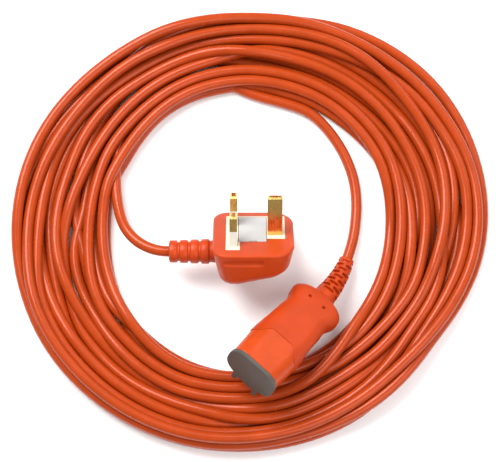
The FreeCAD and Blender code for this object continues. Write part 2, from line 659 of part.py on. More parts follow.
def rear_cover(inside):
    """Waisted, with two finger lobes, two dimples, and a dished guard behind the hinge."""
    wide, tall, corner = (size(n) for n in ("back_wide", "mouth_tall", "mouth_corner"))
    sections = [(size("shroud_long"), wide, tall, corner), *REAR_SECTIONS, (size("shell_long"), *REAR_END)]
    rear = Part.makeLoft([oblong(*section) for section in sections], True, True)
    across, front, foot = size("guard_wide"), -size("shroud_long"), size("guard_foot") - tall / 2
    wedge = [V(front, -across / 2, foot), V(-size("guard_to"), -across / 2, foot),
             V(front, -across / 2, foot - size("guard_foot") - size("guard_tall"))]
    guard = polygon_prism(wedge, V(0, across, 0))
    dish_from = V(-size("dish_back"), 0, -size("dish_below"))
    dish = Part.makeCylinder(size("dish_radius"), across, dish_from, V(-1, 0, 0))
    dot_at = [V(-size("dot_back"), side * size("dot_gap") / 2, tall / 2 - size("dot_deep"))
              for side in (-1, 1)]
    dots = [Part.makeCylinder(size("dot_dia") / 2, size("dot_deep"), dot, V(0, 0, 1)) for dot in dot_at]
    blank = solid("rear_blank", rear.fuse(guard).cut([dish, *dots]))
    output("connector_body", cut("rear_shell", blank, inside), CONNECTOR)


def connector_pieces():
    contacts = sockets()
    inside = connector_inside(contacts)
    shroud()
    hinge_pin_and_spring()
    rear_cover(inside)
    lid()
    boot()


def round_rim(shape):
    """Softens the mouth's outer rim."""
    rim = [edge for edge in shape.Edges if edge.BoundBox.XMin > -0.01 and edge.BoundBox.XMax < 0.01]
    return shape.makeFillet(0.7, rim)


def boss(side):
    """A D-shaped boss whose flat side faces the other one."""
    wide, tall, gap = size("boss_wide"), size("boss_tall"), size("boss_gap")
    near, far = (gap / 2, gap / 2 + wide)
    low, high = (near, -tall / 2), (far, tall / 2)
    round_end, square_end = 4.2, 1.0
    radii = [square_end, round_end, round_end, square_end]
    start = size("shroud_long") - size("insert_base")
    wire = rounded_wire(low, high, radii, lambda u, v: V(-start, side * u, v))
    return prism(wire, V(start - size("boss_front"), 0, 0))


def slot(side):
    middle = size("boss_gap") / 2 + size("boss_wide") / 2
    wide, tall = size("slot_wide"), size("slot_tall")
    corner = V(-size("shroud_long"), side * middle - wide / 2, -tall / 2)
    return Part.makeBox(size("shroud_long") - size("boss_front") + 1, wide, tall, corner)


def contact(name, side):
    """A folded brass contact: two leaves against the slot's walls and a web behind them."""
    middle = size("boss_gap") / 2 + size("boss_wide") / 2
    wide, tall, metal = size("slot_wide"), size("slot_tall") - 2 * size("contact_gap"), size("contact_metal")
    front = -size("boss_front") - 2.0
    back = -size("shroud_long") + size("insert_base") - size("contact_long")
    leaves = [Part.makeBox(front - back, metal, tall, V(back, side * middle + shift - metal / 2, -tall / 2))
              for shift in (-wide / 2 + metal / 2, wide / 2 - metal / 2)]
    web = Part.makeBox(1.0, wide, tall, V(back, side * middle - wide / 2, -tall / 2))
    return solid(name, leaves[0].fuse([leaves[1], web]).removeSplitter())


def lid():
    """The plate over the mouth, the two arms that turn on the hinge pin, and the pad inside."""
    gap, thick, low = size("lid_gap"), size("lid_thick"), -size("mouth_tall") / 2
    plate = prism(oblong(-gap, size("lid_wide"), size("lid_tall"), size("lid_corner")), V(thick, 0, 0))
    arm_thick, tongue = size("arm_thick"), size("tongue_down")
    radius = size("arm_radius")
    arms = []
    for side in (-1, 1):
        y = side * size("arm_at") - arm_thick / 2
        bar = [V(HINGE.x, y, HINGE.z + radius), V(gap + thick, y, HINGE.z + radius),
               V(gap + thick, y, low - tongue), V(HINGE.x, y, HINGE.z - radius)]
        arms.append(polygon_prism(bar, V(0, arm_thick, 0)))
        arms.append(Part.makeCylinder(radius, arm_thick, V(HINGE.x, y, HINGE.z), V(0, 1, 0)))
    reach = size("arm_at") + arm_thick / 2
    short = size("tongue_plate")
    tongue_plate = Part.makeBox(thick, 2 * reach, short + 2, V(gap, -reach, low - short))
    web = Part.makeBox(size("web_long"), 2 * reach, size("web_thick"),
                       V(gap - size("web_long"), -reach, HINGE.z + radius - size("web_thick")))
    bore = Part.makeCylinder(size("hinge_dia") / 2 + size("hinge_play"), size("hinge_long"),
                             HINGE - V(0, size("hinge_long") / 2, 0), V(0, 1, 0))
    whole = plate.fuse([*arms, tongue_plate, web]).cut(bore)
    output("lid", solid("lid_moulding", whole.removeSplitter()), CONNECTOR)
    half = size("seal_wide") / 2
    wire = rounded_wire((-half, -size("seal_low")), (half, size("seal_high")), [3.0, 3.0, 5.5, 5.5],
                        lambda u, v: V(-size("seal_deep"), u, v))
    output("lid_seal", solid("seal", prism(wire, V(size("seal_deep") + gap, 0, 0))), CONNECTOR)


def boot():
    """A tapering bend relief that curves with the cable, in the row's frame."""
    at, way, turn = boot_arc()
    steps = 6
    rings, holes = [], []
    for step in range(steps + 1):
        angle = turn * step / steps
        radius = (size("boot_root") + (size("boot_tip") - size("boot_root")) * step / steps) / 2
        rings.append(Part.Wire(Part.makeCircle(radius, at(angle), way(angle))))
        holes.append(Part.Wire(Part.makeCircle(size("cord_dia") / 2, at(angle), way(angle))))
    spine = Part.Wire(Part.Arc(at(0), at(turn / 2), at(turn)).toShape())
    cable = spine.makePipeShell([holes[0]], True, False)
    output("boot_cable", solid("jacket_in_boot", cable), LIES)
    output("connector_boot", solid("bend_relief", Part.makeLoft(rings, True, False).cut(cable)), LIES)


cable_coil()
tails()
plug_pieces()
connector_pieces()
doc.recompute()

for thing in doc.Objects:
    broken = [state for state in thing.State if state in ("Invalid", "Error")]
    if broken:
        raise RuntimeError(f"{thing.Name} is {broken}")
for piece in outputs:
    if piece.Shape.isNull() or not piece.Shape.isValid() or not piece.Shape.Solids:
        raise RuntimeError(f"{piece.Label} has no sound shape")

os.makedirs("parts", exist_ok=True)
for piece in outputs:
    piece.Shape.exportStep(f"parts/{piece.Label}.step")
print(len(outputs), "sub-parts")
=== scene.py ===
"""The looks of a coiled mains lead: cable, plug and mower connector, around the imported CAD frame."""

import json
import math

import bpy
import numpy as np
from mathutils import Matrix, Vector


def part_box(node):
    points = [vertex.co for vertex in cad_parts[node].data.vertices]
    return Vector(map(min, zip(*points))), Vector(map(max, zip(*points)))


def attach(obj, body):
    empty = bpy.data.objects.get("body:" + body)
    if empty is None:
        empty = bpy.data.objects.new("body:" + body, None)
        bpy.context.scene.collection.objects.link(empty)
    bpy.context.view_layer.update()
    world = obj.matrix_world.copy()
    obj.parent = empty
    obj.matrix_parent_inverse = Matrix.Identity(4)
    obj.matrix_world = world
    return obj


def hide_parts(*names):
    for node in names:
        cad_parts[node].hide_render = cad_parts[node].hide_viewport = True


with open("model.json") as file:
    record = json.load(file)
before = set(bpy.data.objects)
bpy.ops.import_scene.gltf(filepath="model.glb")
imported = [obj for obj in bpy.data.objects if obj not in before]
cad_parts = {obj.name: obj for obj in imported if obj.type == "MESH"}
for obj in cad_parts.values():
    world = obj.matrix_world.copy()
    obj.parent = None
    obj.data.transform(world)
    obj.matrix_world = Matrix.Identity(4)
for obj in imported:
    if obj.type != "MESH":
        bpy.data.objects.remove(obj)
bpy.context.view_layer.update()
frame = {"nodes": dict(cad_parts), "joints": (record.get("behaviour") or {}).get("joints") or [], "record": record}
nodes = frame["nodes"]
mounts = {mount["name"]: mount for mount in frame["record"]["mounts"]}
joints = {joint["name"]: joint for joint in frame["joints"]}

MM = 0.001
ROOT, LID = "lead", "lid_body"
CORD_RADIUS = 3.0  # mm
low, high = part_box("cable_coil")
COIL_CENTRE = Vector(((low.x + high.x) / 2, (low.y + high.y) / 2, 0))


# ---- frames of the plug and of the connector, in mm ----

def local_frame(origin, x_axis, z_axis):
    """The matrix from a frame's millimetres to the row's metres."""
    x_axis, z_axis = Vector(x_axis).normalized(), Vector(z_axis).normalized()
    y_axis = z_axis.cross(x_axis)
    turn = Matrix((x_axis, y_axis, z_axis)).transposed().to_4x4()
    return Matrix.Translation(Vector(origin)) @ turn @ Matrix.Scale(MM, 4)


pins_way = Vector(mounts["plug_pins"]["axis"])
PLUG = local_frame(mounts["plug_pins"]["pos_m"], (1, 0, 0), pins_way)
mouth_way = Vector(mounts["mower_socket"]["axis"])
hinge_way = Vector(joints["lid_hinge"]["axis"])
CONNECTOR = local_frame(mounts["mower_socket"]["pos_m"], mouth_way, mouth_way.cross(hinge_way))
ABOUT_COIL = Matrix.Translation(COIL_CENTRE) @ Matrix.Scale(MM, 4)


# ---- materials ----

def new_material(name):
    material = bpy.data.materials.new(name)
    material.use_nodes = True
    tree = material.node_tree
    shader = tree.nodes["Principled BSDF"]
    place = tree.nodes.new("ShaderNodeTexCoord").outputs["Object"]
    return material, tree, shader, place


def noise(tree, place, scale, detail=3.0, rough=0.55, stretch=None):
    """Noise of so many features a metre."""
    if stretch:
        mapping = tree.nodes.new("ShaderNodeMapping")
        mapping.inputs["Scale"].default_value = stretch
        tree.links.new(place, mapping.inputs["Vector"])
        place = mapping.outputs["Vector"]
    texture = tree.nodes.new("ShaderNodeTexNoise")
    texture.inputs["Scale"].default_value = scale
    texture.inputs["Detail"].default_value = detail
    texture.inputs["Roughness"].default_value = rough
    tree.links.new(place, texture.inputs["Vector"])
    return texture.outputs["Fac"]


def ramp(tree, value, stops):
    """Colours or greys along a value."""
    node = tree.nodes.new("ShaderNodeValToRGB")
    elements = node.color_ramp.elements
    while len(elements) < len(stops):
        elements.new(0.5)
    for element, (at, colour) in zip(elements, stops):
        element.position = at
        element.color = (*colour, 1) if isinstance(colour, tuple) else (colour, colour, colour, 1)
    tree.links.new(value, node.inputs["Fac"])
    return node.outputs["Color"]


def bump(tree, shader, height, strength, distance):
    """Adds a height to whatever already bends the shader's normal."""
    node = tree.nodes.new("ShaderNodeBump")
    node.inputs["Strength"].default_value = strength
    node.inputs["Distance"].default_value = distance
    tree.links.new(height, node.inputs["Height"])
    if shader.inputs["Normal"].is_linked:
        before = shader.inputs["Normal"].links[0].from_socket
        tree.links.new(before, node.inputs["Normal"])
    tree.links.new(node.outputs["Normal"], shader.inputs["Normal"])


def moulded(name, colour, dark=0.86, rough=(0.34, 0.46), grain=2200, grain_depth=0.00004, coat=0.0,
            subsurface=0.0):
    """Moulded plastic: cloudy colour, uneven gloss and a fine texture."""
    material, tree, shader, place = new_material(name)
    darker = tuple(channel * dark for channel in colour)
    clouds = noise(tree, place, 90, 4.0)
    tree.links.new(ramp(tree, clouds, ((0.3, darker), (0.7, colour))), shader.inputs["Base Color"])
    worn = noise(tree, place, 260, 5.0)
    tree.links.new(ramp(tree, worn, ((0.3, rough[0]), (0.75, rough[1]))), shader.inputs["Roughness"])
    bump(tree, shader, noise(tree, place, grain, 2.0), 0.5, grain_depth)
    bump(tree, shader, noise(tree, place, 60, 2.0), 0.25, 0.00025)
    shader.inputs["Specular IOR Level"].default_value = 0.42
    tint = (0.5 + 0.5 * channel / max(colour) for channel in colour)
    shader.inputs["Specular Tint"].default_value = (*tint, 1)
    shader.inputs["Coat Weight"].default_value = coat
    shader.inputs["Coat Roughness"].default_value = 0.18
    shader.inputs["Subsurface Weight"].default_value = subsurface
    shader.inputs["Subsurface Scale"].default_value = 0.002
    shader.inputs["Subsurface Radius"].default_value = (1.0, 0.25, 0.08)
    return material


def metal(name, colour, rough=(0.16, 0.34), brushed=(1, 1, 1)):
    """Bare metal with faint tarnish and draw marks."""
    material, tree, shader, place = new_material(name)
    dull = tuple(channel * 0.72 for channel in colour)
    stain = noise(tree, place, 240, 5.0)
    tree.links.new(ramp(tree, stain, ((0.32, dull), (0.62, colour))), shader.inputs["Base Color"])
    marks = noise(tree, place, 900, 3.0, stretch=brushed)
    tree.links.new(ramp(tree, marks, ((0.3, rough[0]), (0.75, rough[1]))), shader.inputs["Roughness"])
    bump(tree, shader, marks, 0.25, 0.00003)
    shader.inputs["Metallic"].default_value = 1.0
    return material


MATERIALS = {
    "cable_sheath": moulded("cable_pvc", (0.385, 0.046, 0.006), rough=(0.17, 0.30), subsurface=0.04),
    "plug_cover": moulded("plug_pvc", (0.47, 0.047, 0.005), rough=(0.32, 0.46), subsurface=0.04),
    "connector_cover": moulded("connector_pvc", (0.44, 0.042, 0.004), rough=(0.34, 0.48), subsurface=0.04),
    "shroud_orange": moulded("shroud_plastic", (0.47, 0.050, 0.004), rough=(0.24, 0.36), subsurface=0.06),
    "socket_orange": moulded("socket_plastic", (0.52, 0.050, 0.004), rough=(0.26, 0.38), subsurface=0.06),
    "inner_nylon": moulded("nylon", (0.78, 0.75, 0.64), rough=(0.42, 0.55), subsurface=0.1),
    "pin_sleeve": moulded("sleeve_plastic", (0.66, 0.64, 0.56), rough=(0.40, 0.52)),
    "face_card": moulded("card", (0.74, 0.65, 0.49), dark=0.93, rough=(0.62, 0.78), grain=5200),
    "carrier_grey": moulded("carrier_plastic", (0.46, 0.46, 0.455), rough=(0.42, 0.56)),
    "fuse_ceramic": moulded("ceramic", (0.84, 0.82, 0.76), rough=(0.55, 0.7)),
    "lid_grey": moulded("lid_plastic", (0.070, 0.066, 0.057), dark=0.80, rough=(0.34, 0.50), grain=3000),
    "lid_seal": moulded("seal_rubber", (0.045, 0.050, 0.050), rough=(0.55, 0.72)),
    "core_brown": moulded("brown_pvc", (0.13, 0.042, 0.014), rough=(0.32, 0.44)),
    "core_blue": moulded("blue_pvc", (0.012, 0.10, 0.42), rough=(0.32, 0.44)),
    "pin_brass": metal("pin_brass", (0.80, 0.52, 0.16), brushed=(1, 0.12, 0.12)),
    "clip_brass": metal("clip_brass", (0.78, 0.54, 0.22)),
    "contact_brass": metal("contact_brass", (0.80, 0.58, 0.26)),
    "fuse_cap": metal("nickel", (0.74, 0.72, 0.68)),
    "hinge_steel": metal("hinge_steel", (0.66, 0.66, 0.64)),
    "spring_steel": metal("spring_steel", (0.74, 0.71, 0.62)),
}
slot_of = {part["node"]: part["material_slot"] for part in frame["record"]["subparts"]}
for node, thing in nodes.items():
    thing.data.materials.clear()
    thing.data.materials.append(MATERIALS[slot_of[node]])


# ---- mesh helpers ----

def piece(name, points, faces, material_slot, body, node=None, matrix=None, smooth=50):
    """A mesh piece in the row's frame, from points in a frame's millimetres."""
    mesh = bpy.data.meshes.new(name)
    placed = [tuple(matrix @ Vector(point)) for point in points]
    mesh.from_pydata(placed, [], faces)
    mesh.validate()
    thing = bpy.data.objects.new(name, mesh)
    bpy.context.collection.objects.link(thing)
    mesh.materials.append(MATERIALS[material_slot])
    mesh.shade_smooth()
    if smooth < 180:
        mesh.set_sharp_from_angle(angle=math.radians(smooth))
    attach(thing, body)
    if node:
        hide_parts(node)
    return thing


def skin(rings, closed=True):
    """Quads between rings of equal count, with a flat cap at each end."""
    count = len(rings[0])
    points = [point for ring in rings for point in ring]
    faces = []
    for row in range(len(rings) - 1):
        for spot in range(count):
            a, b = row * count + spot, row * count + (spot + 1) % count
            faces.append((a, b, b + count, a + count))
    if closed:
        last = (len(rings) - 1) * count
        faces.append(tuple(reversed(range(count))))
        faces.append(tuple(last + spot for spot in range(count)))
    return points, faces


def lathe(profile, count=64):
    """Rings about the X axis, from (x, radius) pairs."""
    angles = [2 * math.pi * spot / count for spot in range(count)]
    return [[(x, radius * math.cos(a), radius * math.sin(a)) for a in angles] for x, radius in profile]


def smooth_step(value):
    value = min(max(value, 0.0), 1.0)
    return value * value * (3 - 2 * value)


def eased(value, low, high):
    """From 0 at low to 1 at high."""
    return smooth_step((value - low) / (high - low))


def rounded_outline(wide, tall, corners, arc=9, side=5):
    """A rounded rectangle's points (u, v), anticlockwise from its low right corner; corners are the radii
    from there on."""
    points = []
    half_u, half_v = wide / 2, tall / 2
    centres = [(1, -1), (1, 1), (-1, 1), (-1, -1)]
    for number, (cu, cv) in enumerate(centres):
        radius = corners[number]
        for step in range(arc + 1):
            angle = math.radians(-90 + 90 * number + 90 * step / arc)
            points.append((cu * (half_u - radius) + radius * math.cos(angle),
                           cv * (half_v - radius) + radius * math.sin(angle)))
        after, radius_after = centres[(number + 1) % 4], corners[(number + 1) % 4]
        angle = math.radians(90 * number)
        start = points[-1]
        end = (after[0] * (half_u - radius_after) + radius_after * math.cos(angle),
               after[1] * (half_v - radius_after) + radius_after * math.sin(angle))
        for step in range(1, side):
            share = step / side
            points.append((start[0] + (end[0] - start[0]) * share, start[1] + (end[1] - start[1]) * share))
    return points


def sweep(line, radius_at, count=20):
    """Rings round a line of points; radius_at(share, angle) gives the radius at each place."""
    line = [Vector(point) for point in line]
    befores, afters = [line[0]] + line[:-1], line[1:] + [line[-1]]
    ways = [(after - before).normalized() for before, after in zip(befores, afters)]
    across = ways[0].orthogonal().normalized()
    rings = []
    for number, (point, way) in enumerate(zip(line, ways)):
        across = (across - way * across.dot(way)).normalized()
        other = way.cross(across)
        share = number / (len(line) - 1)
        ring = []
        for spot in range(count):
            angle = 2 * math.pi * spot / count
            radius = radius_at(share, angle)
            ring.append(tuple(point + across * radius * math.cos(angle) + other * radius * math.sin(angle)))
        rings.append(ring)
    return rings


def joined(*meshes):
    """Several (points, faces) as one."""
    points, faces = [], []
    for some_points, some_faces in meshes:
        start = len(points)
        points += some_points
        faces += [tuple(corner + start for corner in face) for face in some_faces]
    return points, faces


# ---- the connector ----

REAR_SECTIONS = [  # so far behind the mouth, width, height, corner radius
    (21.5, 31.5, 20.0, 8.2), (26.0, 31.0, 19.6, 8.0), (32.0, 30.2, 19.3, 7.7), (38.0, 28.7, 18.9, 7.3),
    (44.0, 27.1, 18.4, 7.0), (46.8, 27.0, 18.1, 6.9), (49.4, 29.0, 17.8, 6.9), (52.2, 31.2, 17.3, 6.8),
    (55.3, 31.0, 16.6, 6.7), (57.4, 28.0, 15.9, 6.5), (58.8, 23.2, 15.0, 6.3), (59.8, 17.0, 13.8, 6.2),
    (60.6, 13.0, 12.4, 5.9), (61.4, 12.0, 11.6, 5.6)]
SURFACE = -9.75  # the cover's underside, beside the hinge
GUARD_WIDE, GUARD_FROM, GUARD_TO, GUARD_HIGH = 19.0, -21.5, -30.5, 8.0
DISH_RADIUS, DISH_CENTRE = 11.8, -22.05  # the scoop in the guard, about a line along X
RECESS_AT, RECESS_LONG, RECESS_TALL, RECESS_DEEP = 33.6, 7.2, 5.2, 0.85
DIMPLE_AT, DIMPLE_ASIDE, DIMPLE_DEEP = 52.5, 4.8, 1.5
SEAM_FORWARD = 6.0  # how far the front edge reaches forward at the sides


def section_at(back):
    """The rear cover's width, height and corner so far behind the mouth, smooth between its sections."""
    table = np.array(REAR_SECTIONS)
    slopes = np.gradient(table, table[:, 0], axis=0)
    row = int(np.clip(np.searchsorted(table[:, 0], back) - 1, 0, len(table) - 2))
    span = table[row + 1, 0] - table[row, 0]
    t = (back - table[row, 0]) / span
    value = (2 * t**3 - 3 * t**2 + 1) * table[row] + (3 * t**2 - 2 * t**3) * table[row + 1]
    value += (t**3 - 2 * t**2 + t) * span * slopes[row] + (t**3 - t**2) * span * slopes[row + 1]
    return value[1:]


def rear_shell():
    """The waisted rear cover: a wavy front edge, a recess in each side and two dimples on top."""
    backs = [21.5, 21.6, *np.arange(21.8, 51.3, 0.5), *np.arange(51.4, 53.7, 0.2),
             *np.arange(53.8, 61.3, 0.4), 61.4]
    rings = []
    for back in backs:
        wide, tall, corner = section_at(back)
        lip = 1.3 * (1 - eased(back, 21.45, 21.8))
        corners = [min(corner, tall / 2 - 0.05)] * 4
        outline = rounded_outline(wide - lip, tall - lip, corners, arc=12, side=48)
        ring = []
        for y, z in outline:
            recess = max(0.0, 1 - ((back - RECESS_AT) / RECESS_LONG) ** 4 - (z / RECESS_TALL) ** 4)
            recess = RECESS_DEEP * smooth_step(recess * 2.2) * (abs(y) > wide / 4)
            forward = SEAM_FORWARD * eased(abs(y), 5.5, 13.5) * eased(z, -6, 3) * (1 - eased(back, 21.5, 36))
            dimple = 0.0
            if z > 0:
                nearest = math.hypot(back - DIMPLE_AT, abs(y) - DIMPLE_ASIDE)
                dimple = DIMPLE_DEEP * (1 - eased(nearest, 0.65, 0.95))
            ring.append((forward - back, y - math.copysign(recess, y), z - dimple))
        rings.append(ring)
    return skin(rings)


def hinge_guard():
    """The wall behind the hinge, with a wing on each side that runs down to the cover."""
    half, top = GUARD_WIDE / 2, SURFACE + 1.2
    rows, columns = 34, 44
    grid = []
    for row in range(rows + 1):
        x = GUARD_FROM + (GUARD_TO - GUARD_FROM) * row / rows
        slope = top - GUARD_HIGH * (GUARD_TO - x) / (GUARD_TO - GUARD_FROM)
        behind = eased(-x, 22.7, 23.7)
        front = eased(-x, 21.3, 22.0)
        line = []
        for column in range(columns + 1):
            y = -half + GUARD_WIDE * column / columns
            scoop = DISH_CENTRE + math.sqrt(DISH_RADIUS**2 - y * y)
            high = slope + (max(slope, scoop) - slope) * behind
            rim = (1 - min(1, abs(y) / half) ** 9) ** (1 / 3) if abs(y) < half else 0
            line.append((x, y, top + (high - top) * (0.25 + 0.75 * rim) * (0.93 + 0.07 * front)))
        grid.append(line)
    points = [point for line in grid for point in line]
    wide = columns + 1
    faces = [(r * wide + c, (r + 1) * wide + c, (r + 1) * wide + c + 1, r * wide + c + 1)
             for r in range(rows) for c in range(columns)]
    edge = ([c for c in range(columns)] + [r * wide + columns for r in range(rows)]
            + [rows * wide + c for c in range(columns, 0, -1)] + [r * wide for r in range(rows, 0, -1)])
    foot = len(points)
    points += [(points[spot][0], points[spot][1], SURFACE + 1.6) for spot in edge]
    count = len(edge)
    faces += [(edge[n], edge[(n + 1) % count], foot + (n + 1) % count, foot + n) for n in range(count)]
    faces.append(tuple(foot + n for n in reversed(range(count))))
    return points, faces


def connector_body():
    """The rear cover and its hinge guard."""
    return piece("connector_cover", *joined(rear_shell(), hinge_guard()), "connector_cover", ROOT,
                 node="connector_body", matrix=CONNECTOR, smooth=40)


COVER_LONG, BOOT_LONG = 64.0, 26.0
BOOT_HEADING, BOOT_DIP = 70.0, 9.0  # where the boot's tip points, degrees round from X and below level
BOOT_ROOT, BOOT_TIP = 6.5, 4.05  # radii
SLOT_ROWS, SLOTS_AROUND, SLOT_DEEP, LEAST_WALL = 9, 4, 2.4, 0.2


def boot_frame():
    """The boot's centre line, in mm about the coil: start, first heading, side, turn and radius."""
    start = ABOUT_COIL.inverted() @ (CONNECTOR @ Vector((-COVER_LONG, 0, 0)))
    heading = -mouth_way.normalized()
    round_to, dip = math.radians(BOOT_HEADING), math.radians(BOOT_DIP)
    leaving = Vector((math.cos(round_to) * math.cos(dip), math.sin(round_to) * math.cos(dip), -math.sin(dip)))
    turn = heading.angle(leaving)
    side = (leaving - heading * math.cos(turn)).normalized()
    return start, heading, side, turn, BOOT_LONG / turn


BOOT = boot_frame()


def boot_line(share):
    """The boot's centre at a share of its length, in mm about the coil."""
    start, heading, side, turn, radius = BOOT
    angle = turn * share
    return start + heading * radius * math.sin(angle) + side * radius * (1 - math.cos(angle))


def boot_heading(share):
    _start, heading, side, turn, _radius = BOOT
    return heading * math.cos(turn * share) + side * math.sin(turn * share)


def boot_radius(share, angle):
    """A taper with rows of slots, each row turned half a slot from the one before."""
    outside = BOOT_ROOT + (BOOT_TIP - BOOT_ROOT) * share
    if share >= 0.995:
        return CORD_RADIUS
    along = (share - 0.05) / 0.90 * SLOT_ROWS
    if not 0 < along < SLOT_ROWS:
        return outside
    row = int(along)
    in_row = along - row
    turned = (angle / (2 * math.pi) * SLOTS_AROUND + 0.5 * (row % 2)) % 1
    window = eased(in_row, 0.12, 0.20) * (1 - eased(in_row, 0.72, 0.80))
    window *= eased(turned, 0.12, 0.17) * (1 - eased(turned, 0.83, 0.88))
    return outside - min(SLOT_DEEP, outside - CORD_RADIUS - LEAST_WALL) * window


def connector_boot():
    """The slotted bend relief, with its root inside the rear cover."""
    buried = [boot_line(0) - boot_heading(0) * (4.5 - 0.4 * step) for step in range(11)]
    line = buried + [boot_line(step / 230) for step in range(231)]
    return piece("boot", *skin(sweep(line, boot_radius, 120)), "connector_cover", ROOT, node="connector_boot",
                 matrix=ABOUT_COIL, smooth=40)


HINGE = Vector((-8, 0, -14.25))
SPRING_TURNS, SPRING_RADIUS, SPRING_HALF, SPRING_WIRE = 9, 2.35, 3.7, 0.36


def spring_line():
    """Nine close turns about the hinge pin, from the shroud's leg to the lid's side."""
    half, steps = SPRING_HALF, 24
    points = [HINGE + Vector((-3.2, -half, 3.6)), HINGE + Vector((-2.9, -half, 2.0))]
    for step in range(SPRING_TURNS * steps + 1):
        angle = math.pi + 2 * math.pi * step / steps
        across = -half + 2 * half * step / (SPRING_TURNS * steps)
        away = Vector((SPRING_RADIUS * math.cos(angle), across, SPRING_RADIUS * math.sin(angle)))
        points.append(HINGE + away)
    return points


def torsion_spring():
    """The coils stay on the pin; the front leg moves with the lid."""
    def wire(line):
        return skin(sweep(line, lambda share, angle: SPRING_WIRE, 12))

    coil = piece("spring", *wire(spring_line()), "spring_steel", ROOT, node="torsion_spring",
                 matrix=CONNECTOR, smooth=60)
    start = HINGE + Vector((-SPRING_RADIUS, SPRING_HALF, 0))
    leg = [start] + [start + Vector(step) for step in ((0, 0.1, -1.2), (1.6, 0.1, -2.3), (7.6, 0.1, -2.7))]
    return [coil, piece("spring_leg", *wire(leg), "spring_steel", LID, matrix=CONNECTOR, smooth=60)]


# ---- the plug ----

RELIEF_START, RELIEF_END, CABLE_LEVEL, RELIEF_RINGS = -22.6, -45.6, -11.35, 4


def strain_relief():
    """Four wide rings on a taper round the cable."""
    profile = [(-17.3, 6.3)]
    pitch = (RELIEF_START - RELIEF_END) / RELIEF_RINGS
    for ring in range(RELIEF_RINGS):
        x = RELIEF_START - pitch * ring
        radius = 6.75 - 0.65 * ring / (RELIEF_RINGS - 1)
        shape = [(0.02, -0.80), (0.14, -0.85), (0.20, -0.78), (0.24, -0.22), (0.29, 0.0), (0.55, 0.04),
                 (0.88, 0.0), (0.94, -0.18), (0.98, -0.75)]
        profile += [(x - pitch * share, radius + rise) for share, rise in shape]
    profile += [(RELIEF_END + 0.1, 5.0), (RELIEF_END, 4.6), (RELIEF_END, CORD_RADIUS)]
    points = [[(x, y, z + CABLE_LEVEL) for x, y, z in ring] for ring in lathe(profile)]
    return piece("strain_relief", *skin(points), "plug_cover", ROOT, node="plug_strain_relief", matrix=PLUG,
                 smooth=60)


# ---- the cable ----

PLUG_TAIL = [  # metres, about the coil's centre, from the strain relief on
    (-0.0488, -0.01305, 0.0200), (-0.0590, -0.0089, 0.0187), (-0.0668, -0.0011, 0.0159),
    (-0.0712, 0.0091, 0.0115)]
CONNECTOR_TAIL = [  # metres, about the coil's centre, from the boot on
    (0.0592, 0.0062, 0.0037), (0.0600, 0.0182, 0.0030), (0.0588, 0.0304, 0.0030), (0.0552, 0.0420, 0.0030),
    (0.0496, 0.0528, 0.0030), (0.0424, 0.0626, 0.0030)]
BINS = 150  # steps of the winding in one turn
FIRST_ANGLE, LAST_ANGLE, FULL_TURNS = 161.0, 62.0, 15
# How far from its centre the coil reaches, in mm: its inner and its outer side, every 30 degrees.
INNER = [75, 81, 79, 82.5, 83.5, 78, 76.5, 78.5, 78, 77, 75, 73.5]
OUTER = [134, 131.5, 129.5, 125, 127, 131, 131.5, 129, 124, 120, 119, 118.5]
# Where each turn lies in that band, from -1 at its inner side to 1 at its outer side.
LANES = [-0.35, -0.90, -0.98, -0.40, 0.45, 0.92, 0.75, 0.10, 0.60, 1.00, 1.00, 0.70, -0.10, -0.65, -0.97,
         -0.50, -0.25]
WANDER = 0.42
LOOSE_TURN, LOOSE_AT, LOOSE_BY = 9, 42.0, 11.0  # where the outermost turn stands off, degrees and mm
START_RADIUS, END_RADIUS, LEAST_RADIUS = 78.3, 78.5, 75  # at the coil's two ends
STARTING, ENDING = 13, 28  # steps in which the cable comes into the coil and leaves it


def band(angle):
    """The middle of the band and half its width, for the cable's centre line."""
    around = np.degrees(angle) % 360
    compass = np.arange(0, 360, 30)
    inner = np.interp(around, compass, INNER, period=360) + CORD_RADIUS
    outer = np.interp(around, compass, OUTER, period=360) - CORD_RADIUS
    return (inner + outer) / 2, (outer - inner) / 2


def wanted_radius(at, angle, dice):
    """Where each place of the winding would lie with nothing in its way, as it drifts between lanes, and
    the least and greatest radius that it may have."""
    lanes, step = np.array(LANES), at.astype(int)
    share = (1 - np.cos(np.pi * (at % 1))) / 2
    lane = lanes[step] * (1 - share) + lanes[step + 1] * share
    knots = np.arange(len(LANES))
    fades = np.clip(np.minimum(at, at[-1] - at) * 2.5, 0, 1)
    for waves, reach in ((1, WANDER), (2, WANDER * 0.5)):
        sway = np.interp(at, knots, dice.uniform(-reach, reach, len(knots)))
        phase = np.interp(at, knots, dice.uniform(0, 2 * np.pi, len(knots)))
        lane = lane + fades * sway * np.cos(waves * angle - phase)
    middle, half = band(angle)
    stand_off = np.degrees(angle) + 360 * LOOSE_TURN - LOOSE_AT
    loose = LOOSE_BY * np.exp(-(stand_off / 26) ** 2)
    return middle + half * np.clip(lane, -1, 1) + loose, middle - half, middle + half + loose


def ceiling(angle, radius):
    """The greatest height that leaves room for the open lid, which reaches down at the front."""
    away = np.abs((np.degrees(angle) + 93 + 180) % 360 - 180)
    return 9.1 + 0.38 * np.maximum(radius - 89, 0) + 0.6 * np.maximum(away - 16, 0)


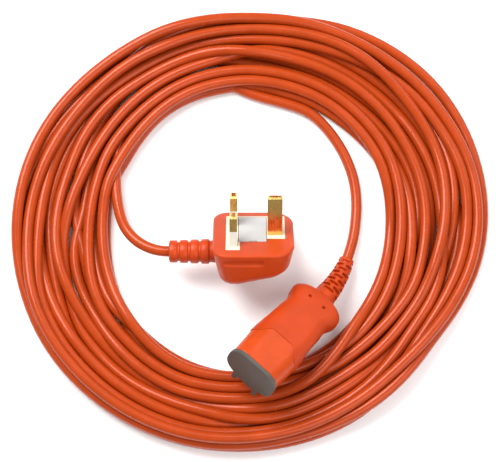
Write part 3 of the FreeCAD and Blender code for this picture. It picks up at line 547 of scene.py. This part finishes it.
def push_apart(radius, height, pitch):
    """Moves every two turns that touch off each other, sideways and up."""
    count = len(radius)
    for gap in range(1, FULL_TURNS + 1):
        ahead, behind = slice(gap * BINS, None), slice(0, count - gap * BINS)
        across = radius[ahead] - radius[behind]
        up = height[ahead] - height[behind]
        apart = np.hypot(across, up)
        touching = apart < pitch
        over = np.where(touching, pitch - apart, 0) * 0.42
        lift = up + np.where(touching, 1.1, 0)
        size = np.maximum(np.hypot(across, lift), 0.1)
        radius[ahead] += over * across / size
        radius[behind] -= over * across / size
        height[ahead] += over * lift / size
        height[behind] -= over * lift / size


def winding():
    """The coil's turns as angles, radii and heights in mm, after they have settled on and beside each
    other under their own weight."""
    dice = np.random.default_rng(30)
    turns = FULL_TURNS + (FIRST_ANGLE - LAST_ANGLE) / 360
    count = int(turns * BINS)
    at = np.arange(count) / BINS
    angle = math.radians(FIRST_ANGLE) - 2 * math.pi * at
    wanted, inmost, outmost = wanted_radius(at, angle, dice)
    wanted[:STARTING] = np.linspace(START_RADIUS, wanted[STARTING], STARTING)
    wanted[-ENDING:] = np.linspace(wanted[-ENDING], END_RADIUS, ENDING)
    inmost[:STARTING], inmost[-ENDING:] = LEAST_RADIUS, LEAST_RADIUS
    radius = wanted.copy()
    height = CORD_RADIUS + 0.25 * at + dice.uniform(0, 0.4, count)
    for step in range(700):
        settle = max(0.0, 1 - step / 560)
        push_apart(radius, height, 2 * CORD_RADIUS * 1.01)
        height -= 0.16 * settle + 0.01
        radius += 0.05 * settle * (wanted - radius)
        radius += 0.35 * (np.clip(radius, inmost, outmost) - radius)
        for values in (radius, height):
            bend = values[:-2] - 2 * values[1:-1] + values[2:]
            values[1:-1] += (0.22 * settle + 0.06) * bend
        height = np.maximum(np.minimum(height, ceiling(angle, radius)), CORD_RADIUS)
        height[:14] = np.linspace(7.6, CORD_RADIUS, 14)
        height[-60:] = np.minimum(height[-60:], CORD_RADIUS + 0.2)
        radius[:3] = START_RADIUS, START_RADIUS + 0.05, START_RADIUS + 0.1
        radius[-2:] = END_RADIUS + 0.1, END_RADIUS
    return angle, radius, height


def cable_points():
    """Every control point of the cable, in metres: the plug's tail, the turns, the connector's tail."""
    relief_end = PLUG @ Vector((RELIEF_END, 0, CABLE_LEVEL))
    straight = boot_line(1.0) + boot_heading(1.0) * 9.6
    angle, radius, height = winding()
    keep = np.append(np.arange(0, len(angle) - 4, 5), len(angle) - 1)
    turns = [Vector((r * math.cos(a), r * math.sin(a), z)) for a, r, z in
             zip(angle[keep], radius[keep], height[keep])]
    points = [relief_end]
    points += [COIL_CENTRE + Vector(point) for point in PLUG_TAIL]
    points += [ABOUT_COIL @ point for point in turns]
    points += [COIL_CENTRE + Vector(point) for point in reversed(CONNECTOR_TAIL)]
    points += [ABOUT_COIL @ straight, ABOUT_COIL @ boot_line(1.0)]
    return points


def cable(ends):
    """One cord from the plug's strain relief to the connector's boot."""
    points = cable_points()
    curve = bpy.data.curves.new("cable", "CURVE")
    curve.dimensions = "3D"
    curve.bevel_depth = CORD_RADIUS * MM
    curve.bevel_resolution = 5
    curve.resolution_u = 4
    spline = curve.splines.new("NURBS")
    spline.points.add(len(points) - 1)
    for spot, point in zip(spline.points, points):
        spot.co = (*point, 1)
    spline.order_u = 3
    spline.use_endpoint_u = True
    curve.materials.append(MATERIALS["cable_sheath"])
    thing = bpy.data.objects.new("cable", curve)
    bpy.context.collection.objects.link(thing)
    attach(thing, ROOT)
    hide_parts("cable_coil", "plug_tail", "connector_tail")
    return thing


cable([connector_body(), connector_boot(), strain_relief(), *torsion_spring()])


# ---- light, floor and camera ----

def studio():
    """Soft lamps above a pale floor."""
    scene = bpy.context.scene
    scene.view_settings.view_transform = "Standard"
    world = bpy.data.worlds.new("studio")
    world.use_nodes = True
    world.node_tree.nodes["Background"].inputs["Color"].default_value = (1, 1, 1, 1)
    world.node_tree.nodes["Background"].inputs["Strength"].default_value = 0.40
    scene.world = world
    bpy.ops.mesh.primitive_plane_add(size=6, location=(0, 0, -0.0002))
    floor = bpy.context.object
    floor.name = "floor"
    material, _tree, shader, _place = new_material("floor")
    shader.inputs["Base Color"].default_value = (0.93, 0.93, 0.93, 1)
    shader.inputs["Roughness"].default_value = 0.9
    shader.inputs["Specular IOR Level"].default_value = 0.1
    floor.data.materials.append(material)
    for name, place, power, size in (("key", (-0.45, 0.50, 0.95), 20, 0.7),
                                     ("fill", (0.65, -0.55, 0.9), 11, 1.1),
                                     ("side", (0.7, 0.6, 0.8), 4, 0.8)):
        light = bpy.data.lights.new(name, "AREA")
        light.energy, light.size = power, size
        lamp = bpy.data.objects.new(name, light)
        bpy.context.collection.objects.link(lamp)
        lamp.location = COIL_CENTRE + Vector(place)
        lamp.rotation_euler = (COIL_CENTRE - lamp.location).to_track_quat("-Z", "Y").to_euler()


def camera():
    """Almost straight above, a little from the front."""
    lift, away = math.radians(78), 0.88
    target = COIL_CENTRE + Vector((0.0006, 0.0008, 0.008))
    lens = bpy.data.cameras.new("camera")
    lens.lens, lens.sensor_width = 115.0, 36.0
    thing = bpy.data.objects.new("camera", lens)
    bpy.context.collection.objects.link(thing)
    thing.location = target + Vector((0, -math.cos(lift), math.sin(lift))) * away
    thing.rotation_euler = (target - thing.location).to_track_quat("-Z", "Y").to_euler()
    bpy.context.scene.camera = thing


studio()
camera()

bpy.context.view_layer.update()
